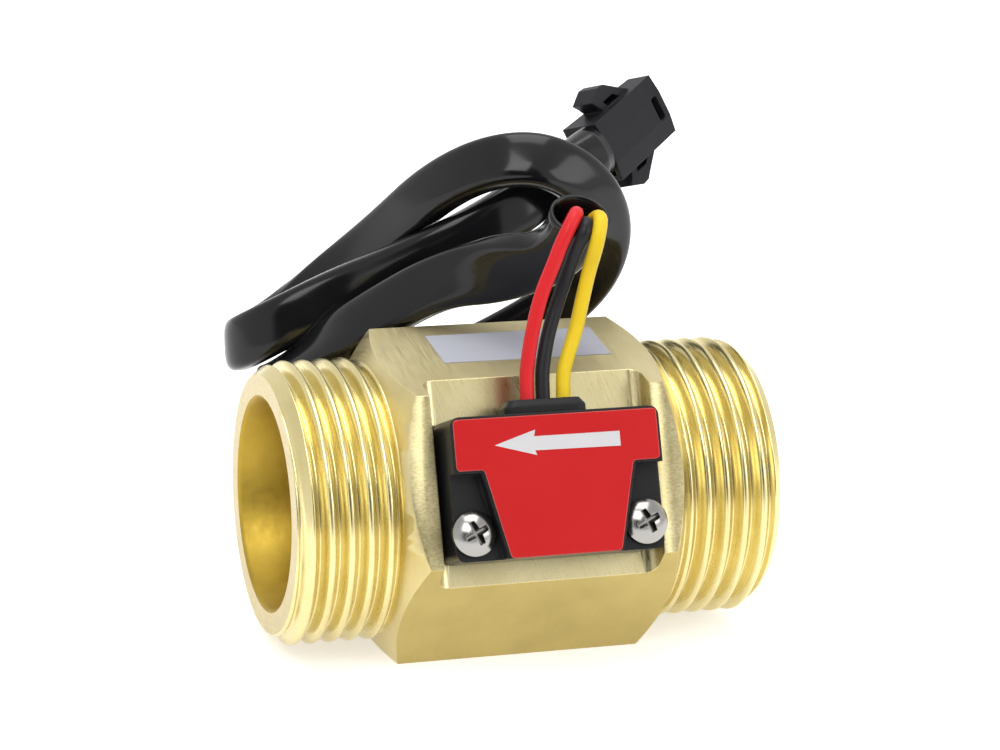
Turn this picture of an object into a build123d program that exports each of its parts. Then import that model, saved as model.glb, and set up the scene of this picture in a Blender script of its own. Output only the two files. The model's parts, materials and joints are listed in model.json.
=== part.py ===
# Brass in-line water flow sensor with a turbine rotor, a pulse-sensor case and a three-wire lead.
# Frame: +X against the flow (the inlet end), +Z up, origin at the centre of the bottom hexagon flat.
# All sizes are in millimetres.

from build123d import *

import os
from math import cos, pi, radians, sin, tan

# Brass body
body_length = 58.8
across_flats = 34.4
hex_corner_half_length = 14.9  # where the end cones leave the hexagon's corners
hex_half_length = 17.1  # where the end cones meet the thread
axis_height = across_flats / 2

# Male G1 thread at both ends
thread_radius = 16.62
thread_pitch = 2.309
thread_depth = 1.479
thread_crest_flat = 0.44
thread_root_radius = thread_radius - thread_depth
last_crest_inset = 2.1  # from the end face to the middle of the last crest
end_face_step = 1.42  # radial, from the crests down to the end face
cone_end_step = 0.52  # radial, from the crests down to where the hexagon's cones end

# Bore
bore_wall = 2.841  # between the thread's root and the bore
bore_radius = thread_root_radius - bore_wall
mouth_chamfer = 0.45
shoulder_step = 1.4  # how far the shoulder stands into the bore
shoulder_inset = 11.4  # from the outlet face to the shoulder
shoulder_length = 1.8
ring_groove_inset = 6.8  # from the inlet face to the retaining ring's groove
ring_groove_depth = 0.8
ring_thickness = 1.1
ring_side_play = 0.05
ring_play = 0.1  # radial, in the groove
ring_reach = 1.1  # how far the ring stands into the bore
ring_gap = 2.4
ring_lug_radius = 1.5
ring_lug_spacing = 5.8
ring_eye_radius = 0.55
insert_clearance = 0.1  # radial, inserts in the bore

# Milled pad on the upper front flat, tilted up from the horizontal
pad_tilt = 30.0
pad_wall = 1.4  # between the bore and the pad's floor
pad_floor = bore_radius + pad_wall  # from the flow axis
pad_width = 26.6
pad_corner_radius = 1.4

# Sensor case, measured on the pad: X along the flow axis, Y up the pad, Z out of it
gasket_thickness = 0.6
gasket_inset = 0.75  # from the case's outline, clear of the pad's corner radius
case_width = 25.0
case_bottom = -9.4
case_top = 6.9
ear_height = 6.0
case_height = 7.7
case_corner_radius = 1.1
tab_bottom = 0.75
neck_top_half_width = 8.95
neck_bottom_half_width = 6.6
label_margin = 0.3
label_thickness = 0.12
board_ledge = 3.2
board_thickness = 1.0
board_width = 14.8
board_length = 11.6
board_centre = -1.2
board_clearance = 0.1
ledge_width = 0.9
case_roof = 1.4

# Case screws
screw_spacing = 20.6
screw_row = -6.25
screw_head_radius = 2.6
screw_head_height = 1.7
screw_head_rim = 0.5  # height of the head's straight edge
screw_shank_radius = 1.25
screw_clearance = 0.05
screw_bite = 2.2  # how far the screws reach below the pad
screw_boss_radius = 2.2

# Wires and grommet
wire_radius = 0.85
wire_height = 4.2  # wire centres above the pad's floor
wire_places = {"red": -2.1, "black": -0.2, "yellow": 2.3}
wire_clearance = 0.05
wire_start = 3.6  # where the wires begin over the board
wire_straight = 4.2  # straight length outside the case
grommet_centre = -0.3
grommet_width = 9.8
grommet_top_width = 8.6
grommet_depth = 4.4
grommet_rise = 1.7
grommet_neck_width = 8.0
grommet_neck_depth = 3.0

# Rotor and its bearings
shaft_radius = 1.0
shaft_running_clearance = 0.03
bush_radius = 1.9
bush_length = 3.6
hub_radius = 4.2
hub_back_length = 1.2  # solid length behind each bush
rotor_vane_count = 8
rotor_vane_thickness = 0.9
rotor_tip_clearance = 0.7
rotor_tip_radius = bore_radius - rotor_tip_clearance
rotor_length = 12.6
rotor_twist = 38.0
rotor_end_play = 0.25
magnet_radius = 6.2
magnet_length = 3.4
magnet_spigot_radius = 3.2
support_ring_wall = 1.5
support_length = 5.0
spoke_count = 4
spoke_thickness = 1.5
guide_vane_count = 5
guide_vane_thickness = 1.1
guide_twist = -32.0

# Range label on the top flat
range_label_size = (20.6, 8.1)
range_label_place = (1.35, 2.7)
range_label_thickness = 0.1

# Sleeve over the wires
sleeve_radius = 2.3

# Connector
plug_length = 12.4
plug_half_width = 4.05
plug_top = 2.2  # from the contacts' row to the top face
plug_bottom_rear = 3.75  # from the contacts' row to the underside, which tapers to the mouth
plug_bottom_front = 1.8
plug_band_width = 2.4  # sloping bands along both edges of the top face
plug_band_drop = 0.4
plug_wall = 0.85
plug_cavity_depth = 5.6
plug_rear_pocket = 2.6
plug_pitch = 2.3
plug_window = (1.2, 3.2)
plug_window_inset = 1.5  # from the mouth to the middle of the window
plug_window_corner = 0.4
wing_front_inset = 3.3  # from the mouth to the front of each latch wing's root
wing_length = 6.9
wing_reach = 2.9  # how far the wings stand out from the shroud's sides
wing_strip = 1.4  # thickness of the strip outside the wing's opening
wing_top = 0.7
wing_bottom = -2.6
contact_pin_side = 0.64
contact_radius = 0.75
contact_clearance = 0.05
contact_pin_inset = 1.2  # from the mouth to the pins' tips

# Routes, chosen by eye along the real lead
sleeve_route = [
    (5.22, -0.82, 51.54),
    (3.6, 3.3, 48.2),
    (0.4, 7.6, 42.0),
    (-5.9, 10.8, 37.9),
    (-11.8, 14.2, 34.1),
    (-17.3, 16.7, 30.5),
    (-22.0, 19.3, 27.3),
    (-25.0, 23.4, 24.0),
    (-24.8, 28.0, 20.7),
    (-19.8, 31.0, 17.7),
    (-12.1, 30.0, 17.1),
    (-4.4, 28.2, 19.1),
    (2.7, 26.0, 22.9),
    (8.9, 24.0, 26.9),
    (14.4, 21.8, 31.3),
    (17.2, 18.4, 37.4),
    (17.4, 16.2, 43.4),
    (14.8, 14.8, 48.6),
    (10.6, 14.2, 52.4),
    (5.2, 14.6, 54.2),
    (-0.4, 16.2, 52.6),
    (-5.4, 19.2, 48.0),
    (-9.0, 23.8, 41.1),
    (-12.9, 28.8, 34.4),
    (-17.3, 33.4, 28.5),
    (-22.7, 33.4, 26.7),
    (-25.5, 27.8, 27.5),
    (-21.5, 22.4, 31.3),
    (-15.4, 19.9, 34.8),
    (-9.1, 18.4, 37.9),
    (-2.6, 18.2, 40.8),
    (3.8, 19.2, 44.0),
    (8.8, 20.2, 46.9),
    (12.6, 22.0, 48.3),
]
wire_routes = {
    "red": [(-1.6, -9.5, 37.3), (-0.9, -8.1, 41.1), (0.2, -7.0, 45.1), (1.6, -6.4, 48.3),
            (4.3, -5.72, 52.37), (4.74, -4.41, 53.47)],
    "black": [(0.3, -9.3, 37.1), (1.3, -7.5, 40.6), (2.6, -6.2, 43.8), (3.6, -5.5, 46.4),
              (5.58, -5.79, 50.94), (5.84, -4.72, 51.86)],
    "yellow": [(3.4, -9.5, 37.0), (4.4, -8.0, 40.6), (5.3, -7.0, 44.4), (6.1, -6.2, 47.6),
               (7.85, -4.87, 51.76), (7.75, -3.64, 52.97)],
}
mouth_places = {"red": (-1.3, 0.4), "black": (-0.15, -1.25), "yellow": (1.3, 0.5)}
tail_places = {"red": (-1.37, -0.29), "black": (0.94, -1.04), "yellow": (0.43, 1.33)}
tail_leads = {"red": (1.4, 2.4), "black": (2.6, 1.2), "yellow": (1.4, 2.4)}  # straight ends of each tail
mouth_lead = 2.38  # straight length of a wire in front of the sleeve's mouth
plug_rear = (18.55, 26.8, 49.0)
plug_forward = (0.757, 0.582, 0.296)
plug_face = (0.453, -0.795, 0.404)

inlet_x = body_length / 2
outlet_x = -body_length / 2
shoulder_x = outlet_x + shoulder_inset + shoulder_length
groove_x = inlet_x - ring_groove_inset
insert_radius = bore_radius - insert_clearance
flow_axis = Pos(0, 0, axis_height)

# The rotor's place along the axis follows from the support and the guide
support_end_x = shoulder_x + support_length
rotor_start_x = support_end_x + rotor_end_play
rotor_end_x = rotor_start_x + rotor_length
magnet_end_x = rotor_end_x + magnet_length
guide_start_x = magnet_end_x + rotor_end_play
guide_end_x = groove_x - ring_thickness - 2 * ring_side_play

pad_normal = (0, -cos(radians(pad_tilt)), sin(radians(pad_tilt)))
pad_plane = Plane(
    origin=(0, pad_floor * pad_normal[1], axis_height + pad_floor * pad_normal[2]),
    x_dir=(1, 0, 0),
    z_dir=pad_normal,
)
on_pad = pad_plane.location
plug_plane = Plane(origin=plug_rear, x_dir=plug_forward, z_dir=plug_face)
on_plug = plug_plane.location

case_centre = (case_top + case_bottom) / 2
case_length = case_top - case_bottom
screw_places = [(-screw_spacing / 2, screw_row), (screw_spacing / 2, screw_row)]


def save(node, shape):
    export_step(shape, f"parts/{node}.step")


def turned(points):
    """A solid of revolution about the flow axis from (x, radius) points."""
    outline = Plane.XZ * make_face(Polyline(*points, close=True))
    return revolve(outline, axis=Axis.X)


def barrel(start_x, end_x, radius):
    """A plain cylinder along the flow axis."""
    return Pos((start_x + end_x) / 2, 0, 0) * Rot(0, 90, 0) * Cylinder(radius, end_x - start_x)


def prism(points, bottom, top):
    """A flat outline raised from one height to another."""
    return Pos(0, 0, bottom) * extrude(make_face(Polyline(*points, close=True)), amount=top - bottom)


def rounded_block(width, length, bottom, top, corner):
    return Pos(0, 0, bottom) * extrude(RectangleRounded(width, length, corner), amount=top - bottom)


def thread_points():
    """The thread's outline from the hexagon to the end face, as rings at the thread's pitch."""
    half_flat = thread_crest_flat / 2
    last_crest = inlet_x - last_crest_inset
    crest_count = int((last_crest - hex_half_length) / thread_pitch) + 1
    points = []
    for crest in range(crest_count):
        middle = last_crest - (crest_count - 1 - crest) * thread_pitch
        groove = middle - thread_pitch / 2
        if groove - half_flat > hex_half_length:
            points.append((groove - half_flat, thread_root_radius))
            points.append((groove + half_flat, thread_root_radius))
        points.append((middle - half_flat, thread_radius))
        points.append((middle + half_flat, thread_radius))
    points.append((inlet_x, thread_radius - end_face_step))
    return points


def threaded_end(toward):
    """One threaded end, from the end of the hexagon's cone to its end face."""
    outline = [(hex_half_length, 0), (hex_half_length, thread_root_radius)] + thread_points() + [(inlet_x, 0)]
    return turned([(toward * x, radius) for x, radius in outline])


def make_body():
    corner_radius = across_flats / 2 / cos(pi / 6)
    hexagon = Plane.YZ * RegularPolygon(across_flats / 2, 6, major_radius=False, rotation=0)
    hexagon = extrude(hexagon, amount=hex_half_length, both=True)
    cone_end_radius = thread_radius - cone_end_step
    cones = turned([
        (-hex_half_length, 0),
        (-hex_half_length, cone_end_radius),
        (-hex_corner_half_length, corner_radius),
        (hex_corner_half_length, corner_radius),
        (hex_half_length, cone_end_radius),
        (hex_half_length, 0),
    ])
    body = (hexagon & cones) + threaded_end(1) + threaded_end(-1)
    shoulder_radius = bore_radius - shoulder_step
    mouth_radius = bore_radius + mouth_chamfer
    outlet_bore = turned([
        (outlet_x, 0),
        (outlet_x, mouth_radius),
        (outlet_x + mouth_chamfer, bore_radius),
        (outlet_x + shoulder_inset, bore_radius),
        (outlet_x + shoulder_inset, shoulder_radius),
        (shoulder_x, shoulder_radius),
        (shoulder_x, 0),
    ])
    groove_radius = bore_radius + ring_groove_depth
    groove_width = ring_thickness + 2 * ring_side_play
    chamber = turned([
        (shoulder_x, 0),
        (shoulder_x, bore_radius),
        (groove_x - groove_width, bore_radius),
        (groove_x - groove_width, groove_radius),
        (groove_x, groove_radius),
        (groove_x, bore_radius),
        (inlet_x - mouth_chamfer, bore_radius),
        (inlet_x, mouth_radius),
        (inlet_x, 0),
    ])
    body = flow_axis * (body - outlet_bore - chamber)
    pocket_height = across_flats / 2 - pad_floor + 4
    pocket = Pos(0, 0, pocket_height / 2) * Box(pad_width, across_flats, pocket_height)
    floor_edges = pocket.edges().filter_by(Axis.Y).group_by(Axis.Z)[0]
    pocket = fillet(floor_edges, pad_corner_radius)
    body -= on_pad * pocket
    for x, y in screw_places:
        hole_depth = screw_bite + screw_clearance
        hole = Cylinder(screw_shank_radius + screw_clearance, hole_depth)
        body -= on_pad * Pos(x, y, -hole_depth / 2) * hole
    return body


def neck_outline(margin, top):
    """The case front's T shape: a wide tab above a neck that narrows downwards."""
    half_tab = case_width / 2 - label_margin + margin
    return [
        (-half_tab, top),
        (-half_tab, tab_bottom - margin),
        (-neck_top_half_width - margin, tab_bottom - margin),
        (-neck_bottom_half_width - margin, case_bottom),
        (neck_bottom_half_width + margin, case_bottom),
        (neck_top_half_width + margin, tab_bottom - margin),
        (half_tab, tab_bottom - margin),
        (half_tab, top),
    ]


def board_pocket(extra, bottom, top):
    width = board_width + 2 * board_clearance + extra
    length = board_length + 2 * board_clearance + extra
    return Pos(0, board_centre, 0) * rounded_block(width, length, bottom, top, 0.8)


def make_case():
    base = Pos(0, case_centre, 0) * rounded_block(
        case_width, case_length, gasket_thickness, ear_height, case_corner_radius)
    full = Pos(0, case_centre, 0) * rounded_block(
        case_width, case_length, gasket_thickness, case_height, case_corner_radius)
    case = base + (full & prism(neck_outline(label_margin, case_top + 1), gasket_thickness, case_height))
    case -= board_pocket(0, gasket_thickness, board_ledge)
    case -= board_pocket(-2 * ledge_width, board_ledge, case_height - case_roof)
    for x, y in screw_places:
        case -= Pos(x, y, ear_height / 2) * Cylinder(screw_shank_radius + screw_clearance, ear_height + 1)
        seat_height = case_height - ear_height
        seat = Cylinder(screw_head_radius + screw_clearance, seat_height + 1)
        case -= Pos(x, y, ear_height + (seat_height + 1) / 2) * seat
    # The grommet's way through the upper wall, from the board's space out
    slot = extrude(
        RectangleRounded(grommet_neck_width + 2 * wire_clearance, grommet_neck_depth + 2 * wire_clearance, 1.2),
        amount=case_top,
    )
    inner_edge = board_centre + board_length / 2 - ledge_width
    slot = Pos(grommet_centre, inner_edge, wire_height) * Rot(-90, 0, 0) * slot
    return case - slot


def make_gasket():
    sheet = rounded_block(
        case_width - 2 * gasket_inset, case_length - 2 * gasket_inset, 0, gasket_thickness, case_corner_radius)
    sheet = Pos(0, case_centre, 0) * sheet
    sheet -= board_pocket(0, -1, gasket_thickness + 1)
    for x, y in screw_places:
        sheet -= Pos(x, y, 0) * Cylinder(screw_shank_radius + screw_clearance, 3)
    return sheet


def make_board():
    board = rounded_block(board_width, board_length, board_ledge - board_thickness, board_ledge, 0.7)
    return Pos(0, board_centre, 0) * board


def make_grommet():
    inner_edge = board_centre + board_length / 2 + board_clearance
    flange = loft([
        Plane.XY * RectangleRounded(grommet_width, grommet_depth, 1.2),
        Plane.XY.offset(0.9) * RectangleRounded(grommet_width, grommet_depth, 1.2),
    ])
    cap = loft([
        Plane.XY.offset(0.9) * RectangleRounded(grommet_width, grommet_depth, 1.2),
        Plane.XY.offset(grommet_rise) * RectangleRounded(grommet_top_width, grommet_depth - 0.9, 1.0),
    ])
    neck_length = case_top - inner_edge
    neck = Pos(0, 0, -neck_length) * extrude(
        RectangleRounded(grommet_neck_width, grommet_neck_depth, 1.15), amount=neck_length)
    grommet = flange + cap + neck
    hole_length = 2 * (neck_length + grommet_rise)
    # local +Z of the grommet runs up the pad
    grommet = Pos(grommet_centre, case_top, wire_height) * Rot(-90, 0, 0) * grommet
    for x in wire_places.values():
        grommet -= Pos(x, case_top, wire_height) * Rot(90, 0, 0) * Cylinder(
            wire_radius + wire_clearance, hole_length)
    return grommet


def make_screw():
    """A pan head screw standing on the case's ear, with a cross recess."""
    dome_height = screw_head_height - screw_head_rim
    dome_radius = (screw_head_radius**2 + dome_height**2) / (2 * dome_height)
    head = Pos(0, 0, screw_head_height / 2) * Cylinder(screw_head_radius, screw_head_height)
    head &= Pos(0, 0, screw_head_height - dome_radius) * Sphere(dome_radius)
    for turn in (25, 115):
        arm = extrude(Rectangle(3.0, 0.85), amount=-1.1, taper=14)
        head -= Pos(0, 0, screw_head_height) * Rot(0, 0, turn) * arm
    length = ear_height + screw_bite
    shank = Pos(0, 0, -length / 2) * Cylinder(screw_shank_radius, length)
    return Pos(0, 0, ear_height) * (head + shank)


def twisted_vane(start_x, end_x, inner_radius, outer_radius, thickness, first_angle, twist):
    """One vane that turns about the flow axis as it runs along it."""
    sections = []
    steps = 4
    for step in range(steps + 1):
        share = step / steps
        angle = radians(first_angle + twist * share)
        plane = Plane(
            origin=(start_x + (end_x - start_x) * share, 0, 0),
            x_dir=(0, cos(angle), sin(angle)),
            z_dir=(1, 0, 0),
        )
        middle = (inner_radius + outer_radius) / 2
        sections.append(plane * Pos(middle, 0) * Rectangle(outer_radius - inner_radius, thickness))
    return loft(sections)


def make_rotor():
    hub = barrel(rotor_start_x, rotor_end_x, hub_radius)
    hub += barrel(rotor_end_x, magnet_end_x, magnet_spigot_radius)
    for vane in range(rotor_vane_count):
        hub += twisted_vane(
            rotor_start_x + 0.4, rotor_end_x - 0.4, hub_radius - 0.8, rotor_tip_radius,
            rotor_vane_thickness, vane * 360 / rotor_vane_count, rotor_twist)
    hub -= barrel(rotor_start_x - 1, magnet_end_x + 1, shaft_radius)
    return flow_axis * hub


def make_magnet():
    ring = barrel(rotor_end_x, magnet_end_x, magnet_radius)
    return flow_axis * (ring - barrel(rotor_end_x - 1, magnet_end_x + 1, magnet_spigot_radius))


def shaft_ends():
    reach = bush_length - 0.2
    return support_end_x - reach, guide_start_x + reach


def make_shaft():
    start_x, end_x = shaft_ends()
    return flow_axis * chamfer(barrel(start_x, end_x, shaft_radius).edges(), 0.2)


def make_bush(start_x):
    bush = barrel(start_x, start_x + bush_length, bush_radius)
    hole = barrel(start_x - 1, start_x + bush_length + 1, shaft_radius + shaft_running_clearance)
    return flow_axis * (bush - hole)


def bearing_hub(face_x, toward):
    """A hub with a rounded nose pointing away from the rotor and a blind seat for its bush."""
    body_end = face_x + toward * (bush_length + hub_back_length)
    nose_end = body_end + toward * hub_radius
    nose = CenterArc((body_end, 0), hub_radius, 0 if toward > 0 else 90, 90)
    sides = Polyline((nose_end, 0), (face_x, 0), (face_x, hub_radius), (body_end, hub_radius))
    outline = make_face(sides + nose)
    hub = revolve(Plane.XZ * outline, axis=Axis.X)
    seat_end = face_x + toward * bush_length
    return hub - barrel(min(face_x, seat_end), max(face_x, seat_end), bush_radius)


def make_outlet_support():
    ring = barrel(shoulder_x, support_end_x, insert_radius)
    ring -= barrel(shoulder_x - 1, support_end_x + 1, insert_radius - support_ring_wall)
    support = ring + bearing_hub(support_end_x, -1)
    for spoke in range(spoke_count):
        reach = insert_radius - support_ring_wall / 2
        inner = hub_radius - 0.6
        blade = Box(support_length, reach - inner, spoke_thickness)
        blade = Pos((shoulder_x + support_end_x) / 2, (reach + inner) / 2, 0) * blade
        support += Rot(spoke * 360 / spoke_count + 45, 0, 0) * blade
    return flow_axis * support


def make_inlet_guide():
    ring = barrel(guide_start_x, guide_end_x, insert_radius)
    ring -= barrel(guide_start_x - 1, guide_end_x + 1, insert_radius - support_ring_wall)
    guide = ring + bearing_hub(guide_start_x, 1)
    for vane in range(guide_vane_count):
        guide += twisted_vane(
            guide_start_x + 0.6, guide_end_x - 1.5, hub_radius - 0.8, insert_radius - support_ring_wall / 2,
            guide_vane_thickness, vane * 360 / guide_vane_count, guide_twist)
    return flow_axis * guide


def make_retaining_ring():
    start_x = groove_x - ring_thickness - ring_side_play
    end_x = groove_x - ring_side_play
    middle_x = (start_x + end_x) / 2
    ring = barrel(start_x, end_x, bore_radius + ring_groove_depth - ring_play)
    ring -= barrel(start_x - 1, end_x + 1, bore_radius - ring_reach)
    for side in (-1, 1):
        lug = Pos(middle_x, side * ring_lug_spacing / 2, ring_lug_radius + ring_play - bore_radius) * Rot(0, 90, 0)
        ring += lug * Cylinder(ring_lug_radius, ring_thickness)
        ring -= lug * Cylinder(ring_eye_radius, ring_thickness + 1)
    ring -= Pos(middle_x, 0, -bore_radius) * Box(ring_thickness + 1, ring_gap, 4 * ring_lug_radius)
    return flow_axis * ring


def make_range_label():
    film = extrude(Rectangle(*range_label_size), amount=range_label_thickness)
    return Pos(range_label_place[0], range_label_place[1], across_flats) * film


def make_face_label():
    outline = make_face(Polyline(*neck_outline(0, case_top - label_margin), close=True))
    outline = fillet(outline.vertices(), 0.5)
    return Pos(0, 0, case_height) * extrude(outline, amount=label_thickness)


def make_hall_sensor():
    top = board_ledge - board_thickness
    body = Pos(1.5, 0, top - 0.75) * Box(4.1, 3.0, 1.5)
    return chamfer(body.edges().filter_by(Axis.Y).group_by(Axis.Z)[0], 0.4)


def corner_radii(points):
    """Each corner's arc: 0.45 of its shorter run over the tangent of half its turn."""
    radii = []
    for before, here, after in zip(points, points[1:], points[2:]):
        first = Vector(*here) - Vector(*before)
        second = Vector(*after) - Vector(*here)
        half_turn = radians(first.get_angle(second)) / 2
        radii.append(0.45 * min(first.length, second.length) / tan(half_turn))
    return radii


def tube(name, points, radius):
    """A round cord of straight runs joined by tangent arcs."""
    radii = corner_radii(points)
    path = FilletPolyline(*points, radius=radii) if radii else Line(*points)
    start = Plane(origin=path @ 0, z_dir=path % 0)
    solid = sweep(start * Circle(radius), path=path)
    expected = pi * radius**2 * path.length
    print(
        name, "length", round(path.length, 1), "smallest arc", round(min(radii), 1) if radii else "none",
        "volume against section times length", round(solid.volume / expected, 4),
        "radii", [round(arc, 1) for arc in radii],
    )
    return solid


def sleeve_mouth(index, across, along):
    """A point on the sleeve's end face, off its centre by the two given distances."""
    inward = Vector(*sleeve_route[1 if index == 0 else -2]) - Vector(*sleeve_route[index])
    face = Plane(origin=sleeve_route[index], x_dir=Vector(1, 0, 0), z_dir=inward * -1)
    side = Vector(1, 0, 0) - face.z_dir * face.z_dir.X
    side = side.normalized()
    upward = face.z_dir.cross(side)
    return Vector(*sleeve_route[index]) + side * across + upward * along, face.z_dir


def front_wire(name):
    """From the board out through the grommet, over the sleeve's rim and into its mouth."""
    first = pad_plane.from_local_coords((wire_places[name], wire_start, wire_height))
    second = pad_plane.from_local_coords((wire_places[name], case_top + wire_straight, wire_height))
    end, outward = sleeve_mouth(0, *mouth_places[name])
    lead = end + outward * mouth_lead
    points = [tuple(first), tuple(second)] + wire_routes[name] + [tuple(lead), tuple(end)]
    return tube(name + " wire, front", points, wire_radius)


def tail_wire(name):
    """From the sleeve's far end to the connector."""
    rows = {"red": plug_pitch, "black": 0.0, "yellow": -plug_pitch}
    start, outward = sleeve_mouth(-1, *tail_places[name])
    leave_length, arrive_length = tail_leads[name]
    leave = start + outward * leave_length
    into = plug_plane.from_local_coords((-arrive_length, rows[name], 0))
    end = plug_plane.from_local_coords((plug_rear_pocket, rows[name], 0))
    return tube(name + " wire, tail", [tuple(start), tuple(leave), tuple(into), tuple(end)], wire_radius)


def make_plug():
    """The connector: a tapered shroud with a moulded latch wing on either side."""
    band_x = plug_half_width - plug_band_width
    lower = plug_top - plug_band_drop
    section = Plane.YZ * make_face(Polyline(
        (-plug_half_width, -plug_bottom_rear),
        (-plug_half_width, lower),
        (-band_x, plug_top),
        (band_x, plug_top),
        (plug_half_width, lower),
        (plug_half_width, -plug_bottom_rear),
        close=True,
    ))
    shroud = extrude(section, amount=plug_length)
    side = Plane.XZ * make_face(Polyline(
        (0, -plug_bottom_rear),
        (plug_length, -plug_bottom_front),
        (plug_length, plug_top),
        (0, plug_top),
        close=True,
    ))
    shroud &= extrude(side, amount=plug_half_width, both=True)
    for toward in (-1, 1):
        shroud += plug_wing(toward)
    cavity_top = lower - plug_wall
    cavity_bottom = plug_wall - plug_bottom_front
    shroud -= Pos(plug_length - plug_cavity_depth / 2, 0, (cavity_top + cavity_bottom) / 2) * Box(
        plug_cavity_depth, 2 * (plug_half_width - plug_wall), cavity_top - cavity_bottom)
    shroud -= Pos(plug_rear_pocket / 2, 0, 0) * Box(
        plug_rear_pocket, 2 * (plug_pitch + wire_radius + 0.1), 2 * (wire_radius + 0.5))
    for row in (-plug_pitch, 0, plug_pitch):
        shroud -= Pos(0, row, 0) * contact_barrel(contact_radius + contact_clearance)
    length, width = plug_window
    window = Pos(plug_length - plug_window_inset, 0, 0) * extrude(
        RectangleRounded(length, width, plug_window_corner), amount=plug_top)
    return shroud - window


def plug_wing(toward):
    """A strip that leaves the shroud's side, runs back around an opening and ends in a lip."""
    front = plug_length - wing_front_inset
    back = front - wing_length
    inner = plug_half_width - plug_wall / 2
    outer = plug_half_width + wing_reach
    outline = [
        (front, inner),
        (front, plug_half_width + 0.1),
        (front - 1.7, plug_half_width + 0.45 * wing_reach),
        (front - 3.7, outer - 0.1),
        (front - 4.8, outer),
        (back, outer - 1.0),
        (back + 0.7, outer - 1.9),
        (back + 1.2, plug_half_width + 0.2),
        (back + 1.2, inner),
    ]
    opening = [
        (front - 1.9, plug_half_width + 0.1),
        (front - 2.9, outer - wing_strip - 0.5),
        (back + 1.9, outer - wing_strip - 0.5),
        (back + 2.4, plug_half_width + 0.1),
    ]
    wing = prism([(x, toward * y) for x, y in outline], wing_bottom, wing_top)
    return wing - prism([(x, toward * y) for x, y in opening], wing_bottom - 1, wing_top + 1)


def contact_barrel(radius):
    """The round length of a contact's way between the wires' pocket and the mouth's cavity."""
    length = plug_length - plug_cavity_depth - plug_rear_pocket
    return Pos(plug_rear_pocket + length / 2, 0, 0) * Rot(0, 90, 0) * Cylinder(radius, length)


def make_contact(row):
    pin_length = plug_cavity_depth - contact_pin_inset
    pin = Pos(plug_length - plug_cavity_depth + pin_length / 2, 0, 0) * Box(
        pin_length, contact_pin_side, contact_pin_side)
    return Pos(0, row, 0) * (contact_barrel(contact_radius) + pin)


os.makedirs("parts", exist_ok=True)

save("brass_body", make_body())
save("outlet_support", make_outlet_support())
save("outlet_bush", make_bush(support_end_x - bush_length))
save("rotor", make_rotor())
save("rotor_magnet", make_magnet())
save("rotor_shaft", make_shaft())
save("inlet_bush", make_bush(guide_start_x))
save("inlet_flow_guide", make_inlet_guide())
save("retaining_ring", make_retaining_ring())

save("case_gasket", on_pad * make_gasket())
save("sensor_case", on_pad * make_case())
save("circuit_board", on_pad * make_board())
save("hall_sensor", on_pad * make_hall_sensor())
save("resistor", on_pad * Pos(-3.2, -3.4, board_ledge + 0.3) * Box(2.0, 1.25, 0.6))
save("capacitor", on_pad * Pos(2.6, -3.4, board_ledge + 0.45) * Box(2.0, 1.25, 0.9))
save("wire_grommet", on_pad * make_grommet())
for node, (x, y) in zip(("screw_left", "screw_right"), screw_places):
    save(node, on_pad * Pos(x, y, 0) * make_screw())
save("face_label", on_pad * make_face_label())
save("range_label", make_range_label())

for colour in wire_places:
    save(colour + "_wire", Compound(children=[front_wire(colour), tail_wire(colour)]))
save("cable_sleeve", tube("sleeve", sleeve_route, sleeve_radius))
save("plug_housing", on_plug * make_plug())
for colour, row in (("red", plug_pitch), ("black", 0), ("yellow", -plug_pitch)):
    save("contact_" + colour, on_plug * make_contact(row))
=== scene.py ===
import json
from math import cos, exp, hypot, radians, sin, tau

import bmesh
import bpy
from mathutils import Matrix, Vector


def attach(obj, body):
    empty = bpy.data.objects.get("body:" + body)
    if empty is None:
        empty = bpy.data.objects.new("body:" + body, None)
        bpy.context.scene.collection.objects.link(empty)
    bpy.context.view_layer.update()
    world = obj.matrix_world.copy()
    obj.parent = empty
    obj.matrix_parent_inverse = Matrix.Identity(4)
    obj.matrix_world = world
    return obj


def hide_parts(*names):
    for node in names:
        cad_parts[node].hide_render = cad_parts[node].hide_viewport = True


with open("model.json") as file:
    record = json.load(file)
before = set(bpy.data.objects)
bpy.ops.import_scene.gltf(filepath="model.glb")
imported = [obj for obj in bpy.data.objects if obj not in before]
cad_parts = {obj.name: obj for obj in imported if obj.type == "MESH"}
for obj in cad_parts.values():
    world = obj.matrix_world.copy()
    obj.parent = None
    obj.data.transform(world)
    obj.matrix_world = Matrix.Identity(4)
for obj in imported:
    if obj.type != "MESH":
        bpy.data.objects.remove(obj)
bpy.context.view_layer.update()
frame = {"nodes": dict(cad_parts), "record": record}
print("frame loaded")

mm = 0.001
axisHeight = 17.2  # the flow axis above the table, in mm
padTilt = radians(30)
padNormal = Vector((0, -cos(padTilt), sin(padTilt)))
padUp = Vector((0, sin(padTilt), cos(padTilt)))


# Camera

cameraSettings = {
    "place": (-0.12443, -0.34609, 0.18919),
    "azimuth": -19.55,
    "elevation": 23.18,
    "roll": -4.59,
    "lens": 122.45,  # on a sensor 36 mm wide
}


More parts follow.
